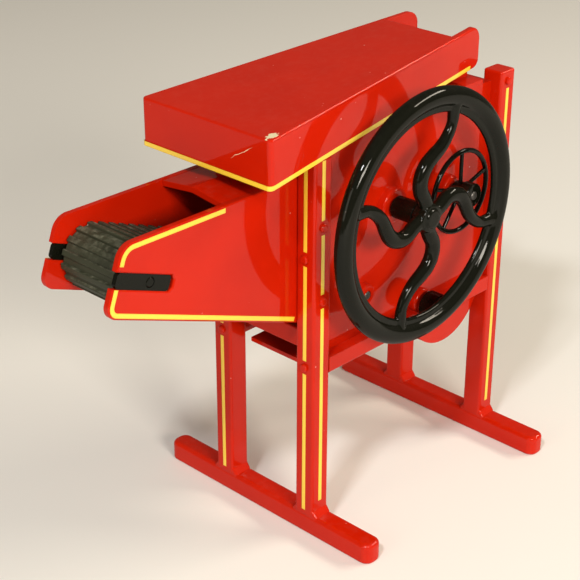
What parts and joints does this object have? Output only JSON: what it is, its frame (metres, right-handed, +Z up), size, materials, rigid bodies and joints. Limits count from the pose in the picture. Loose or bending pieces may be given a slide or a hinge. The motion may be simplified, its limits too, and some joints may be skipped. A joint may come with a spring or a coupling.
{
  "type": "corn sheller",
  "caption": "Scale model of a belt-fed spring corn sheller: red cast body on two skid frames, tapered hood, slatted feeder, S-spoked flywheel and geared shafts.",
  "frame": {"origin": "on the floor under the middle of the machine", "axes": "+X from the feeder to the back, -Y towards the flywheel, +Z up"},
  "size_m": [0.1648, 0.0904, 0.1478],
  "materials": {
    "red_enamel": "gloss",
    "black_enamel": "gloss",
    "bare_steel": "satin",
    "belt_rubber": "matte"
  },
  "bodies": {
    "root": {"front_frame": "red_enamel", "rear_frame": "red_enamel", "frame_bolts": "red_enamel", "left_rail": "red_enamel", "right_rail": "red_enamel", "left_wall": "red_enamel", "right_wall": "red_enamel", "rear_wall": "red_enamel", "front_apron": "red_enamel", "grain_pan": "red_enamel", "cob_rack": "red_enamel", "left_feeder_side": "red_enamel", "right_feeder_side": "red_enamel", "feeder_deck": "red_enamel", "feeder_belt": "belt_rubber", "feeder_bed": "black_enamel", "take_up_blocks": "black_enamel", "hood_bracket": "red_enamel", "idler_stub": "bare_steel", "rag_iron_pin": "bare_steel", "rag_iron_spring": "bare_steel"},
    "flywheel_set": {"flywheel": "black_enamel", "flywheel_shaft": "bare_steel", "drive_drum": "black_enamel", "shaft_collar": "black_enamel", "shelling_disc": "red_enamel", "main_gear": "bare_steel"},
    "second_set": {"spoked_wheel": "black_enamel", "second_shaft": "bare_steel", "second_drum": "black_enamel", "cob_paddle": "red_enamel", "second_pinion": "bare_steel"},
    "lower_set": {"lower_shaft": "bare_steel", "lower_drum": "black_enamel", "fan": "red_enamel", "lower_gear": "bare_steel"},
    "idler_set": {"idler_gear": "bare_steel"},
    "rear_roller_set": {"rear_roller": "black_enamel", "rear_axle": "bare_steel", "roller_gear": "bare_steel"},
    "front_roller_set": {"front_roller": "black_enamel", "front_axle": "black_enamel"},
    "hood_set": {"hood": "red_enamel", "hood_pin": "bare_steel"},
    "rag_iron_set": {"rag_iron": "red_enamel"}
  },
  "joints": [
    {"name": "flywheel_spin", "type": "hinge", "parent": "root", "child": "flywheel_set", "pos_m": [0.026, 0, 0.1024], "axis": [0, 1, 0], "continuous": true},
    {"name": "second_spin", "type": "hinge", "parent": "root", "child": "second_set", "pos_m": [0.05389, 0, 0.09991], "axis": [0, 1, 0], "continuous": true},
    {"name": "lower_spin", "type": "hinge", "parent": "root", "child": "lower_set", "pos_m": [0.04198, 0, 0.06356], "axis": [0, 1, 0], "continuous": true},
    {"name": "idler_spin", "type": "hinge", "parent": "root", "child": "idler_set", "pos_m": [0.03589, 0, 0.07835], "axis": [0, 1, 0], "continuous": true},
    {"name": "rear_roller_spin", "type": "hinge", "parent": "root", "child": "rear_roller_set", "pos_m": [0.01397, 0, 0.07601], "axis": [0, 1, 0], "continuous": true},
    {"name": "front_roller_spin", "type": "hinge", "parent": "root", "child": "front_roller_set", "pos_m": [-0.0675, 0, 0.107], "axis": [0, 1, 0], "continuous": true},
    {"name": "hood_hinge", "type": "hinge", "parent": "root", "child": "hood_set", "pos_m": [0.066, 0, 0.1406], "axis": [0, 1, 0], "range_deg": [0, 100]},
    {"name": "rag_iron_pivot", "type": "hinge", "parent": "root", "child": "rag_iron_set", "pos_m": [0.046, 0, 0.121], "axis": [0, 1, 0], "range_deg": [0, 12], "stiffness_Nm_per_rad": 0.01, "springref_deg": -11.46}
  ],
  "couplings": [
    {"joint": "second_spin", "follows": "flywheel_spin", "ratio": -1.8},
    {"joint": "idler_spin", "follows": "flywheel_spin", "ratio": -2.25},
    {"joint": "lower_spin", "follows": "flywheel_spin", "ratio": 2.25},
    {"joint": "rear_roller_spin", "follows": "flywheel_spin", "ratio": -1.6364},
    {"joint": "front_roller_spin", "follows": "flywheel_spin", "ratio": -1.6364}
  ]
}
